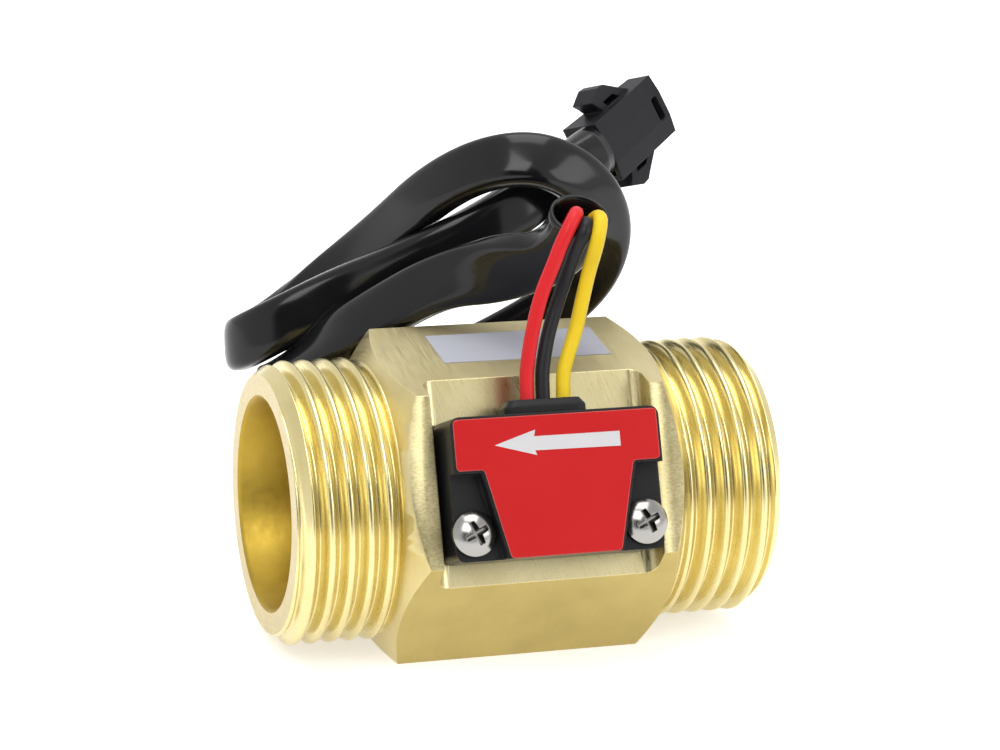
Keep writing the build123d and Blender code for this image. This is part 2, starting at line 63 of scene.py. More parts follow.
def addCamera(settings):
    azimuth = radians(settings["azimuth"])
    elevation = radians(settings["elevation"])
    roll = radians(settings["roll"])
    forward = Vector((-sin(azimuth) * cos(elevation), cos(azimuth) * cos(elevation), -sin(elevation)))
    right = Vector((cos(azimuth), sin(azimuth), 0))
    down = forward.cross(right)
    right, down = right * cos(roll) + down * sin(roll), down * cos(roll) - right * sin(roll)
    camera = bpy.data.objects.new("camera", bpy.data.cameras.new("camera"))
    bpy.context.collection.objects.link(camera)
    turn = Matrix((right, -down, -forward)).transposed()
    camera.matrix_world = Matrix.Translation(settings["place"]) @ turn.to_4x4()
    camera.data.lens = settings["lens"]
    camera.data.sensor_width = 36
    camera.data.clip_start = 0.01
    bpy.context.scene.camera = camera


addCamera(cameraSettings)


# Node helpers


# A node with its settings made and its inputs linked or given values
def addNode(tree, kind, inputs=None, **settings):
    node = tree.nodes.new(kind)
    for key, value in settings.items():
        setattr(node, key, value)
    for key, value in (inputs or {}).items():
        if isinstance(value, bpy.types.NodeSocket):
            tree.links.new(value, node.inputs[key])
        else:
            node.inputs[key].default_value = value
    return node


def doMath(tree, operation, first, second=0.0):
    return addNode(tree, "ShaderNodeMath", {0: first, 1: second}, operation=operation).outputs[0]


# The first colour where the mask is 0, and the second where it is 1
def mixColour(tree, mask, first, second):
    node = addNode(tree, "ShaderNodeMix", {0: mask}, data_type="RGBA")
    for name, colour in (("A", first), ("B", second)):
        socket = next(s for s in node.inputs if s.name == name and s.type == "RGBA")
        if isinstance(colour, bpy.types.NodeSocket):
            tree.links.new(colour, socket)
        else:
            socket.default_value = (*colour, 1)
    return next(s for s in node.outputs if s.type == "RGBA")


def rangeOf(tree, value, low, high, newLow, newHigh):
    inputs = {"Value": value, "From Min": low, "From Max": high, "To Min": newLow, "To Max": newHigh}
    return addNode(tree, "ShaderNodeMapRange", inputs).outputs["Result"]


# A bump of the given depth in metres, over a normal that may be rounded already
def addBump(tree, height, depth, normal=None):
    inputs = {"Height": height, "Strength": 1.0, "Distance": depth}
    if normal is not None:
        inputs["Normal"] = normal
    return addNode(tree, "ShaderNodeBump", inputs).outputs[0]


# How far the surface faces a direction, from -1 to 1
def facingOf(tree, direction):
    normal = addNode(tree, "ShaderNodeNewGeometry").outputs["Normal"]
    node = addNode(tree, "ShaderNodeVectorMath", {0: normal, 1: tuple(direction)}, operation="DOT_PRODUCT")
    return node.outputs["Value"]


# An empty node group with the named inputs and outputs, and its two end nodes
def newGroup(name, inputs, outputs):
    tree = bpy.data.node_groups.new(name, "ShaderNodeTree")
    for label, kind, value in inputs:
        socket = tree.interface.new_socket(label, in_out="INPUT", socket_type=kind)
        socket.default_value = value
    for label, kind in outputs:
        tree.interface.new_socket(label, in_out="OUTPUT", socket_type=kind)
    return tree, tree.nodes.new("NodeGroupInput"), tree.nodes.new("NodeGroupOutput")


def useGroup(tree, group, inputs):
    return addNode(tree, "ShaderNodeGroup", inputs, node_tree=group)


def newMaterial(name):
    material = bpy.data.materials.new(name)
    material.use_nodes = True
    tree = material.node_tree
    shader = next(node for node in tree.nodes if node.type == "BSDF_PRINCIPLED")
    return material, tree, shader


floatKind = "NodeSocketFloat"
vectorKind = "NodeSocketVector"


# Fine parallel marks along one direction, and slow blotches, each from 0 to 1
def makeToolMarks():
    tree, start, end = newGroup(
        "tool marks",
        [("Turn", vectorKind, (0, 0, 0)), ("Across", floatKind, 9000.0), ("Along", floatKind, 250.0)],
        [("Marks", floatKind), ("Blotches", floatKind)],
    )
    place = addNode(tree, "ShaderNodeTexCoord").outputs["Object"]
    turned = addNode(
        tree, "ShaderNodeMapping", {"Vector": place, "Rotation": start.outputs["Turn"]}).outputs[0]
    stretch = addNode(
        tree, "ShaderNodeCombineXYZ",
        {0: start.outputs["Across"], 1: start.outputs["Along"], 2: start.outputs["Along"]},
    ).outputs[0]
    placed = addNode(tree, "ShaderNodeVectorMath", {0: turned, 1: stretch}, operation="MULTIPLY").outputs[0]
    fine = addNode(
        tree, "ShaderNodeTexNoise", {"Vector": placed, "Scale": 1.0, "Detail": 3.0, "Roughness": 0.6})
    blotch = addNode(tree, "ShaderNodeTexNoise", {"Vector": place, "Scale": 160.0, "Detail": 3.0})
    tree.links.new(fine.outputs["Fac"], end.inputs["Marks"])
    tree.links.new(blotch.outputs["Fac"], end.inputs["Blotches"])
    return tree


# The surface's normal with its edges rounded, and a mask of those edges
def makeSoftEdges():
    tree, start, end = newGroup(
        "soft edges",
        [("Radius", floatKind, 0.0002)],
        [("Normal", vectorKind), ("Edge", floatKind)],
    )
    bevel = addNode(tree, "ShaderNodeBevel", {"Radius": start.outputs["Radius"]}, samples=4).outputs[0]
    flat = addNode(tree, "ShaderNodeNewGeometry").outputs["Normal"]
    same = addNode(tree, "ShaderNodeVectorMath", {0: bevel, 1: flat}, operation="DOT_PRODUCT")
    edge = rangeOf(tree, same.outputs["Value"], 0.995, 0.93, 0.0, 1.0)
    tree.links.new(bevel, end.inputs["Normal"])
    tree.links.new(edge, end.inputs["Edge"])
    return tree


# The fine grain and slight unevenness of moulded plastic as a height, and slow clouds
def makeMouldGrain():
    tree, start, end = newGroup(
        "mould grain",
        [("Scale", floatKind, 1.0)],
        [("Height", floatKind), ("Clouds", floatKind)],
    )
    place = addNode(tree, "ShaderNodeTexCoord").outputs["Object"]
    scaled = addNode(
        tree, "ShaderNodeVectorMath", {0: place, "Scale": start.outputs["Scale"]}, operation="SCALE",
    ).outputs[0]
    fine = addNode(tree, "ShaderNodeTexNoise", {"Vector": scaled, "Scale": 5200.0, "Detail": 2.0})
    wave = addNode(tree, "ShaderNodeTexNoise", {"Vector": scaled, "Scale": 260.0, "Detail": 2.0})
    clouds = addNode(tree, "ShaderNodeTexNoise", {"Vector": scaled, "Scale": 120.0, "Detail": 4.0})
    height = doMath(tree, "ADD", doMath(tree, "MULTIPLY", fine.outputs["Fac"], 0.4), wave.outputs["Fac"])
    tree.links.new(height, end.inputs["Height"])
    tree.links.new(clouds.outputs["Fac"], end.inputs["Clouds"])
    return tree


toolMarks = makeToolMarks()
softEdges = makeSoftEdges()
mouldGrain = makeMouldGrain()


# Machined brass: tool marks along one direction, faint tarnish, and a painted highlight that makes the
# rounded edges paler
def brassMaterial(name, look):
    material, tree, shader = newMaterial(name)
    colour = look["colour"]
    dark = look["dark"]
    inputs = {"Turn": look["turn"], "Across": look["across"], "Along": look["along"]}
    marks = useGroup(tree, toolMarks, inputs)
    tarnish = rangeOf(tree, marks.outputs["Blotches"], 0.35, 0.7, 0.0, 0.45)
    lines = rangeOf(tree, marks.outputs["Marks"], 0.3, 0.62, look.get("lines", 0.3), 0.0)
    base = mixColour(tree, tarnish, colour, dark)
    base = mixColour(tree, lines, base, dark)
    normal = None
    edgeRadius = look.get("edge", 0.0002)
    if edgeRadius > 0:
        edges = useGroup(tree, softEdges, {"Radius": edgeRadius})
        # Painted highlight: the rounded edges are painted towards a paler brass
        light = tuple(min(1.0, channel * 1.2) for channel in colour)
        base = mixColour(tree, doMath(tree, "MULTIPLY", edges.outputs["Edge"], 0.6), base, light)
        normal = edges.outputs["Normal"]
    tree.links.new(base, shader.inputs["Base Color"])
    roughness = look["roughness"]
    rough = rangeOf(tree, marks.outputs["Marks"], 0.3, 0.7, roughness - 0.06, roughness + 0.08)
    tree.links.new(rough, shader.inputs["Roughness"])
    tree.links.new(addBump(tree, marks.outputs["Marks"], look["depth"], normal), shader.inputs["Normal"])
    shader.inputs["Metallic"].default_value = 1.0
    return material


# Moulded plastic or rubber: fine grain, slow paler clouds, and a painted highlight that makes the edges paler
def plasticMaterial(name, colour, roughness, grain=0.00001, edge=0.0002, coat=0.0, lift=1.6):
    material, tree, shader = newMaterial(name)
    grains = useGroup(tree, mouldGrain, {"Scale": 1.0})
    edges = useGroup(tree, softEdges, {"Radius": edge})
    pale = tuple(min(1.0, channel * lift + 0.004) for channel in colour)
    base = mixColour(tree, rangeOf(tree, grains.outputs["Clouds"], 0.35, 0.75, 0.0, 0.5), colour, pale)
    # Painted highlight: the rounded edges are painted paler
    base = mixColour(tree, doMath(tree, "MULTIPLY", edges.outputs["Edge"], 0.35), base, pale)
    tree.links.new(base, shader.inputs["Base Color"])
    rough = rangeOf(tree, grains.outputs["Clouds"], 0.3, 0.7, roughness - 0.05, roughness + 0.07)
    tree.links.new(rough, shader.inputs["Roughness"])
    bump = addBump(tree, grains.outputs["Height"], grain, edges.outputs["Normal"])
    tree.links.new(bump, shader.inputs["Normal"])
    shader.inputs["Specular IOR Level"].default_value = 0.18
    shader.inputs["Coat Weight"].default_value = coat
    shader.inputs["Coat Roughness"].default_value = 0.12
    return material


# Plain steel or tinned metal: fine grain, with duller clouds
def metalMaterial(name, colour, roughness):
    material, tree, shader = newMaterial(name)
    grains = useGroup(tree, mouldGrain, {"Scale": 1.5})
    edges = useGroup(tree, softEdges, {"Radius": 0.0001})
    dull = tuple(channel * 0.7 for channel in colour)
    base = mixColour(tree, rangeOf(tree, grains.outputs["Clouds"], 0.4, 0.75, 0.0, 0.6), colour, dull)
    tree.links.new(base, shader.inputs["Base Color"])
    rough = rangeOf(tree, grains.outputs["Clouds"], 0.3, 0.7, roughness - 0.04, roughness + 0.1)
    tree.links.new(rough, shader.inputs["Roughness"])
    bump = addBump(tree, grains.outputs["Height"], 0.000004, edges.outputs["Normal"])
    tree.links.new(bump, shader.inputs["Normal"])
    shader.inputs["Metallic"].default_value = 1.0
    return material


# Each region of the turned and milled body has its own cut, and the upward-facing top flat is painted paler
# as painted light from above
brassSettings = {
    "flat": {
        "colour": (0.53, 0.42, 0.145), "dark": (0.38, 0.29, 0.09), "roughness": 0.34,
        "turn": (0, 0, 0), "across": 5200, "along": 180, "depth": 0.000003},
    # Painted light: the top flat is painted paler than the other flats because it faces the light overhead;
    # its rougher satin finish is its own
    "top": {
        "colour": (0.68, 0.6, 0.36), "dark": (0.5, 0.42, 0.2), "roughness": 0.52,
        "turn": (0, 0, 0), "across": 5200, "along": 180, "depth": 0.0000012},
    "cone": {
        "colour": (0.68, 0.58, 0.3), "dark": (0.52, 0.43, 0.19), "roughness": 0.38, "lines": 0.06,
        "turn": (0, 0, 0), "across": 7000, "along": 160, "depth": 0.0000008, "edge": 0.0},
    "strip": {
        "colour": (0.68, 0.6, 0.34), "dark": (0.3, 0.24, 0.1), "roughness": 0.38, "lines": 0.6,
        "turn": (radians(30), radians(90), 0), "across": 5200, "along": 2200, "depth": 0.000012},
    "pad": {
        "colour": (0.70, 0.62, 0.36), "dark": (0.52, 0.43, 0.2), "roughness": 0.3,
        "turn": (radians(60), 0, radians(35)), "across": 6500, "along": 420, "depth": 0.000004},
    "thread": {
        "colour": (0.78, 0.68, 0.35), "dark": (0.6, 0.48, 0.18), "roughness": 0.24, "lines": 0.1,
        "turn": (0, 0, 0), "across": 9000, "along": 90, "depth": 0.0000006, "edge": 0.0},
    "face": {
        "colour": (0.56, 0.46, 0.23), "dark": (0.44, 0.35, 0.14), "roughness": 0.3,
        "turn": (0, radians(90), 0), "across": 5000, "along": 700, "depth": 0.000003},
    "bore": {
        "colour": (0.5, 0.35, 0.055), "dark": (0.32, 0.2, 0.025), "roughness": 0.48,
        "turn": (0, 0, 0), "across": 900, "along": 700, "depth": 0.00003, "edge": 0.0},
}
brassLooks = {
    name: brassMaterial("brass" + name.capitalize(), look) for name, look in brassSettings.items()
}

looks = {
    "support_plastic": plasticMaterial("supportPlastic", (0.72, 0.71, 0.66), 0.42, lift=1.1),
    "bush": plasticMaterial("bushPlastic", (0.84, 0.82, 0.75), 0.3, lift=1.05),
    "spring_steel": metalMaterial("springSteel", (0.42, 0.42, 0.43), 0.34),
    "rotor_plastic": plasticMaterial("rotorPlastic", (0.06, 0.06, 0.065), 0.4),
    "magnet": plasticMaterial("magnetFerrite", (0.05, 0.045, 0.045), 0.45, grain=0.00002),
    "pin_steel": metalMaterial("pinSteel", (0.6, 0.6, 0.61), 0.22),
    "gasket_rubber": plasticMaterial("gasketRubber", (0.02, 0.02, 0.02), 0.6),
    "case_plastic": plasticMaterial("casePlastic", (0.012, 0.012, 0.013), 0.3, edge=0.0004, grain=0.000006),
    "board": plasticMaterial("boardMask", (0.02, 0.12, 0.05), 0.3),
    "chip": plasticMaterial("chipPackage", (0.02, 0.02, 0.02), 0.5),
    "capacitor": plasticMaterial("capacitorCeramic", (0.42, 0.3, 0.18), 0.45, lift=1.2),
    "grommet_rubber": plasticMaterial("grommetRubber", (0.012, 0.012, 0.013), 0.42, edge=0.0004),
    "label_grey": plasticMaterial("labelGrey", (0.43, 0.44, 0.49), 0.5, grain=0.000003, lift=1.08),
    "wire_red": plasticMaterial("wireRed", (0.66, 0.02, 0.025), 0.34, lift=1.15),
    "wire_black": plasticMaterial("wireBlack", (0.014, 0.014, 0.016), 0.34),
    "wire_yellow": plasticMaterial("wireYellow", (0.78, 0.55, 0.02), 0.34, lift=1.12),
    "sleeve_black": plasticMaterial("sleeveBlack", (0.006, 0.006, 0.007), 0.18, grain=0.000002, coat=0.3),
    "plug_plastic": plasticMaterial("plugPlastic", (0.012, 0.012, 0.015), 0.42, edge=0.00025),
    "contact_metal": metalMaterial("contactMetal", (0.6, 0.59, 0.56), 0.3),
}


# Red film: glossy face, thin paler cut edge
def labelMaterial():
    material, tree, shader = newMaterial("labelRed")
    edges = useGroup(tree, softEdges, {"Radius": 0.0002})
    grains = useGroup(tree, mouldGrain, {"Scale": 0.6})
    side = rangeOf(tree, facingOf(tree, padNormal), 0.8, 0.5, 0.0, 1.0)
    clouds = rangeOf(tree, grains.outputs["Clouds"], 0.35, 0.7, 0.0, 0.25)
    base = mixColour(tree, clouds, (0.5, 0.006, 0.008), (0.58, 0.018, 0.018))
    base = mixColour(tree, doMath(tree, "MULTIPLY", edges.outputs["Edge"], 0.5), base, (0.8, 0.25, 0.22))
    tree.links.new(mixColour(tree, side, base, (0.8, 0.35, 0.3)), shader.inputs["Base Color"])
    bump = addBump(tree, grains.outputs["Height"], 0.000008, edges.outputs["Normal"])
    tree.links.new(bump, shader.inputs["Normal"])
    shader.inputs["Roughness"].default_value = 0.26
    shader.inputs["Specular IOR Level"].default_value = 0.25
    return material


# Plated screw: bright dome, with painted shade on the steep walls of its recess
def screwMaterial():
    material, tree, shader = newMaterial("screwSteel")
    edges = useGroup(tree, softEdges, {"Radius": 0.00012})
    # Painted shade: faces turned away from the pad, which are the recess walls and the steep sides of the
    # head, are painted nearly black
    steepWallShade = rangeOf(tree, facingOf(tree, padNormal), 0.35, 0.15, 0.0, 1.0)
    base = mixColour(tree, steepWallShade, (0.36, 0.35, 0.33), (0.04, 0.034, 0.03))
    tree.links.new(base, shader.inputs["Base Color"])
    tree.links.new(edges.outputs["Normal"], shader.inputs["Normal"])
    shader.inputs["Roughness"].default_value = 0.22
    shader.inputs["Metallic"].default_value = 1.0
    return material


looks["label_red"] = labelMaterial()
looks["screw_steel"] = screwMaterial()
print("materials made")


# Brass body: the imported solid's hexagon, pad and bore, with a true helical thread at each end

threadSettings = {
    "pitch": 2.309,
    "crest": 16.62,
    "root": 15.16,
    "starts": {-1: -28.95, 1: 18.87},  # where a crest crosses the +Y side, in mm
    "from": 17.1,  # distance of the thread's inner end from the middle, where the cone's edge is
    "coneRadius": 16.1,
    "to": 29.4,
    "endRadius": 15.2,
    "endSlope": 0.78,
    "fadeLength": 0.5,  # over which the first turn rises out of the cone's edge
    "alongSteps": 110,
    "roundSteps": 192,
}


# How far up the thread's profile a point is: 1 on the broad round crest, 0 in the narrow root
def threadHeight(turns):
    return 1 - (0.5 - 0.5 * cos(tau * turns)) ** 1.35


def makeThread(side, settings):
    vertices = []
    rows = settings["alongSteps"]
    columns = settings["roundSteps"]
    for row in range(rows + 1):
        reach = settings["from"] + (settings["to"] - settings["from"]) * row / rows
        x = side * reach
        for column in range(columns):
            angle = tau * column / columns
            share = (x - settings["starts"][side]) / settings["pitch"] - angle / tau
            height = threadHeight(share)
            fade = min(1.0, (reach - settings["from"]) / settings["fadeLength"])
            radius = settings["root"] + (settings["crest"] - settings["root"]) * height
            radius = radius * fade + settings["coneRadius"] * (1 - fade)
            radius = min(radius, settings["endRadius"] + (settings["to"] - reach) * settings["endSlope"])
            vertices.append((x * mm, radius * cos(angle) * mm, (axisHeight + radius * sin(angle)) * mm))
    faces = []
    for row in range(rows):
        for column in range(columns):
            corner = row * columns + column
            beside = row * columns + (column + 1) % columns
            quad = (corner, beside, beside + columns, corner + columns)
            faces.append(quad if side > 0 else quad[::-1])
    return vertices, faces


# Where each look of the body begins, in mm from its middle or from the flow axis
bodySettings = {
    "threadFrom": 17.05,
    "threadRadius": 14.9,
    "threadTo": 29.39,
    "boreRadius": 13.4,
    "boreTo": 29.35,
    "faceFrom": 28.8,
    "padHalfLength": 13.4,
    "padFloor": 13.4,
    "padRim": 17.15,
    "flatHeight": 17.2,
    "mergeAngle": 0.4,  # degrees
    "sharpAngle": 28,
}


# Which brass look a face of the body has, from its middle in mm and the way it faces
def regionOf(centre, normal, settings):
    y = centre.y
    z = centre.z - axisHeight
    radius = hypot(y, z)
    outward = (normal.y * y + normal.z * z) / max(radius, 0.001)
    if radius < settings["boreRadius"] and abs(centre.x) < settings["boreTo"] and outward < 0.3:
        return "bore"
    if abs(centre.x) > settings["faceFrom"]:
        return "face"
    height = y * padNormal.y + z * padNormal.z
    inPad = settings["padFloor"] < height < settings["padRim"] and z > -2 and y < 0
    if inPad and abs(centre.x) < settings["padHalfLength"] and abs(height - settings["flatHeight"]) > 0.1:
        return "pad"
    if height > settings["flatHeight"] - 0.1 and normal.dot(padNormal) > 0.9:
        return "strip"
    if abs(normal.x) > 0.2:
        return "cone"
    # Upward-facing faces take the top look, painted paler as painted light from above
    if normal.z > 0.9:
        return "top"
    return "flat"


def makeBody(settings):
    source = frame["nodes"]["brass_body"].data
    mesh = bmesh.new()
    mesh.from_mesh(source)
    bmesh.ops.remove_doubles(mesh, verts=mesh.verts, dist=0.000001)
    threadFaces = []
    for face in mesh.faces:
        spots = [vertex.co / mm for vertex in face.verts]
        outside = all(hypot(p.y, p.z - axisHeight) > settings["threadRadius"] for p in spots)
        reach = [abs(p.x) for p in spots]
        if outside and min(reach) > settings["threadFrom"] and min(reach) <= settings["threadTo"]:
            threadFaces.append(face)
    bmesh.ops.delete(mesh, geom=threadFaces, context="FACES")
    bmesh.ops.dissolve_limit(
        mesh, angle_limit=radians(settings["mergeAngle"]), verts=mesh.verts, edges=mesh.edges)
    names = list(brassLooks)
    mesh.normal_update()
    for face in mesh.faces:
        face.material_index = names.index(regionOf(face.calc_center_median() / mm, face.normal, settings))
        face.smooth = True
    data = bpy.data.meshes.new("brassBody")
    mesh.to_mesh(data)
    mesh.free()
    body = bpy.data.objects.new("brassBody", data)
    bpy.context.collection.objects.link(body)
    data.set_sharp_from_angle(angle=radians(settings["sharpAngle"]))
    for name in names:
        data.materials.append(brassLooks[name])
    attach(body, "housing")
    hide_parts("brass_body")
    for side, label in ((-1, "outletThread"), (1, "inletThread")):
        vertices, faces = makeThread(side, threadSettings)
        data = bpy.data.meshes.new(label)
        data.from_pydata(vertices, [], faces)
        data.polygons.foreach_set("use_smooth", [True] * len(data.polygons))
        data.materials.append(brassLooks["thread"])
        thread = bpy.data.objects.new(label, data)
        bpy.context.collection.objects.link(thread)
        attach(thread, "housing")


makeBody(bodySettings)
print("brass body made")


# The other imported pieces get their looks

slots = {part["node"]: part["material_slot"] for part in frame["record"]["subparts"]}
for node, piece in frame["nodes"].items():
    if slots[node] in looks:
        piece.data.materials.clear()
        piece.data.materials.append(looks[slots[node]])


# Arrow on the label, in pad coordinates (mm): along the flow axis, up the pad

arrowSettings = {
    "outline": [
        (-7.5, 3.45), (-2.55, 4.95), (-2.75, 4.2), (7.55, 4.2), (7.55, 2.5), (-2.75, 2.6), (-2.55, 2.05),
    ],
    "caseHeight": 7.7,
    "film": 0.12,
    "print": 0.015,
    "padFloor": 13.7,  # from the flow axis
}


def makeArrow(settings):
    data = bpy.data.meshes.new("flowArrow")
    height = settings["padFloor"] + settings["caseHeight"] + settings["film"] + settings["print"]
    corners = []
    for x, up in settings["outline"]:
        corners.append((Vector((x, 0, axisHeight)) + padUp * up + padNormal * height) * mm)
    data.from_pydata([tuple(corner) for corner in corners], [], [tuple(range(len(corners)))[::-1]])
    arrow = bpy.data.objects.new("flowArrow", data)
    bpy.context.collection.objects.link(arrow)
    ink = plasticMaterial("arrowPrint", (0.6, 0.59, 0.6), 0.4, grain=0.000003, edge=0.00001, lift=1.1)
    data.materials.append(ink)
    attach(arrow, "housing")


makeArrow(arrowSettings)


# Lead: routes in metres, as the solids have them, with some points moved to follow the real one

sleeveRoute = [
    (0.0059, -0.0022, 0.0526), (0.0062, 0.0013, 0.0466), (0.0004, 0.0075, 0.0424), (-0.0062, 0.0114, 0.0395),
    (-0.0124, 0.0144, 0.0343), (-0.0166, 0.0159, 0.0311), (-0.0196, 0.0199, 0.0271), (-0.0208, 0.025, 0.0232),
    (-0.0200, 0.0295, 0.0188), (-0.0166, 0.0312, 0.0170), (-0.0121, 0.03, 0.0171), (-0.0044, 0.0282, 0.0191),
    (0.0027, 0.026, 0.0229), (0.0087, 0.024, 0.0269), (0.0138, 0.0218, 0.0313), (0.0164, 0.0184, 0.0374),
    (0.0166, 0.0162, 0.0434), (0.0141, 0.0148, 0.0484), (0.0102, 0.0142, 0.0519), (0.0052, 0.0146, 0.0536),
    (0.0, 0.0175, 0.0518), (-0.0046, 0.0215, 0.0471), (-0.0081, 0.0265, 0.04), (-0.0121, 0.0312, 0.0333),
    (-0.0167, 0.034, 0.0275), (-0.0225, 0.034, 0.0238), (-0.0269, 0.0276, 0.0252), (-0.0233, 0.0234, 0.0293),
    (-0.015, 0.0231, 0.0336), (-0.0084, 0.0203, 0.0374), (-0.0026, 0.0182, 0.041), (0.0036, 0.0186, 0.0442),
    (0.0088, 0.0203, 0.0469), (0.0126, 0.0221, 0.0483), (0.0177, 0.026, 0.0495),
]

wireSize = {"diameter": 0.0017, "length": 0.27}  # metres, from the grommet to the contact

wireSettings = {
    "redWire": {
        "node": "red_wire",
        "look": "wire_red",
        "front": [
            (-0.0021, -0.0137, 0.02927), (-0.0020, -0.0102, 0.0354), (-0.0015, -0.0091, 0.0384),
            (-0.0009, -0.0081, 0.0411), (0.0002, -0.007, 0.0451), (0.0016, -0.0064, 0.0483),
        ],
        # over the sleeve's rim: across, up and out of the mouth from its middle, in mm
        "over": [(-2.0, -4.9, 0.3), (-1.2, -3.0, 1.9), (-0.6, -1.0, 1.6), (-0.6, 0.4, -1.0)],
        "place": (-1.6, 0.25),  # in the sleeve, along its wide and its thin way
        "tail": [(0.01565, 0.0258, 0.05028), (0.01944, 0.02871, 0.05176)],
    },
    "blackWire": {
        "node": "black_wire",
        "look": "wire_black",
        "front": [
            (-0.0002, -0.0137, 0.02927), (-0.0001, -0.0102, 0.0354), (0.0005, -0.0088, 0.0381),
            (0.0013, -0.0075, 0.0406), (0.0026, -0.0062, 0.0438), (0.0036, -0.0055, 0.0464),
        ],
        "over": [(-0.1, -4.5, -0.7), (0.4, -3.9, 1.3), (0.6, -2.1, 1.5), (0.5, -1.2, -0.8)],
        "place": (0.0, -0.4),
        "tail": [(0.01764, 0.0261, 0.04864), (0.02052, 0.02831, 0.04977)],
    },
    "yellowWire": {
        "node": "yellow_wire",
        "look": "wire_yellow",
        "front": [
            (0.0023, -0.0137, 0.02927), (0.0023, -0.0102, 0.0354), (0.0033, -0.0091, 0.0382),
            (0.0044, -0.008, 0.0406), (0.0053, -0.007, 0.0444), (0.0061, -0.0062, 0.0476),
        ],
        "over": [(2.0, -4.9, 0.3), (2.1, -3.0, 1.9), (2.1, -1.0, 1.6), (1.6, 0.4, -1.0)],
        "place": (1.6, 0.25),
        "tail": [(0.01781, 0.02501, 0.0463), (0.0216, 0.02792, 0.04778)],
    },
}

sleeveSettings = {
    "width": 6.6,
    "thickness": 3.6,
    "wall": 0.35,
    "mouthWidth": 7.1,
    "mouthThickness": 5.8,
    "mouthReach": 9,  # how far in from each end the tube is opened by its wires
    "innerDepth": 14,  # how far in the inside is made, at the mouth and at the connector
    "innerDepthEnd": 8,
    "roundSteps": 48,
    "smoothing": 12,
    "length": 0.232,  # metres
    "kink": (13.5, 7.0, 0.3),  # where the tube is folded over wider, over what length, and by what share
    "squareness": 0.6,  # 1 is an ellipse, and less is squarer, with tighter edges
    # at each share of the length, what the flattened tube's broad side faces away from
    "facings": [
        (0.0, (0.29, 0.82, 0.49)), (0.03, (0.29, 0.82, 0.49)), (0.07, (0.31, 0.87, -0.39)),
        (0.12, (0.1, 0.5, -0.85)), (0.23, (0.1, 0.5, -0.85)), (0.28, (0.1, 0.5, -0.85)),
        (0.33, (0.31, 0.87, -0.39)), (0.4, (0.31, 0.87, -0.39)), (0.47, (-0.13, 0.92, -0.35)),
        (0.55, (0.24, 0.67, -0.7)), (0.67, (0.24, 0.67, -0.7)), (0.76, (-1.0, 0.1, 0.0)),
        (0.81, (-0.31, -0.87, 0.39)), (0.86, (-0.33, -0.94, 0.06)), (0.93, (-0.33, -0.94, 0.06)),
        (1.0, (0.45, -0.8, 0.4)),
    ],
}


def makeCurve(name, points, radius, resolution):
    data = bpy.data.curves.new(name, "CURVE")
    data.dimensions = "3D"
    data.bevel_depth = radius
    data.bevel_resolution = 5
    data.resolution_u = resolution
    data.use_fill_caps = True
    spline = data.splines.new("NURBS")
    spline.points.add(len(points) - 1)
    for point, place in zip(spline.points, points):
        point.co = (*place, 1)
    spline.order_u = 3
    spline.use_endpoint_u = True
    curve = bpy.data.objects.new(name, data)
    bpy.context.collection.objects.link(curve)
    return curve


# The points that a curve with no bevel runs through
def lineOf(curve):
    bpy.context.view_layer.update()
    mesh = bpy.data.meshes.new_from_object(curve.evaluated_get(bpy.context.evaluated_depsgraph_get()))
    line = [vertex.co.copy() for vertex in mesh.vertices]
    bpy.data.meshes.remove(mesh)
    return line


# The facing at a share of the length, between the two listed beside it
def facingAt(share, facings):
    for (low, before), (high, after) in zip(facings, facings[1:]):
        if share <= high:
            return Vector(before).lerp(Vector(after), (share - low) / (high - low)).normalized()
    return Vector(facings[-1][1]).normalized()


# For each point of a line, its direction, wide way and thin way, smoothed over some rounds
def wideWays(line, facings, rounds):
    ways = []
    for index, place in enumerate(line):
        before = line[max(index - 1, 0)]
        after = line[min(index + 1, len(line) - 1)]
        along = (after - before).normalized()
        wide = along.cross(facingAt(index / (len(line) - 1), facings))
        if wide.length < 0.25 and ways:
            wide = ways[-1][1] - along * ways[-1][1].dot(along)
        wide.normalize()
        if ways and wide.dot(ways[-1][1]) < 0:
            wide.negate()
        ways.append((along, wide, wide.cross(along)))
    for _ in range(rounds):
        smoothed = []
        for index, (along, wide, thin) in enumerate(ways):
            before = ways[max(index - 1, 0)][1]
            after = ways[min(index + 1, len(ways) - 1)][1]
            wide = before + wide * 2 + after
            wide = (wide - along * wide.dot(along)).normalized()
            smoothed.append((along, wide, wide.cross(along)))
        ways = smoothed
    return ways


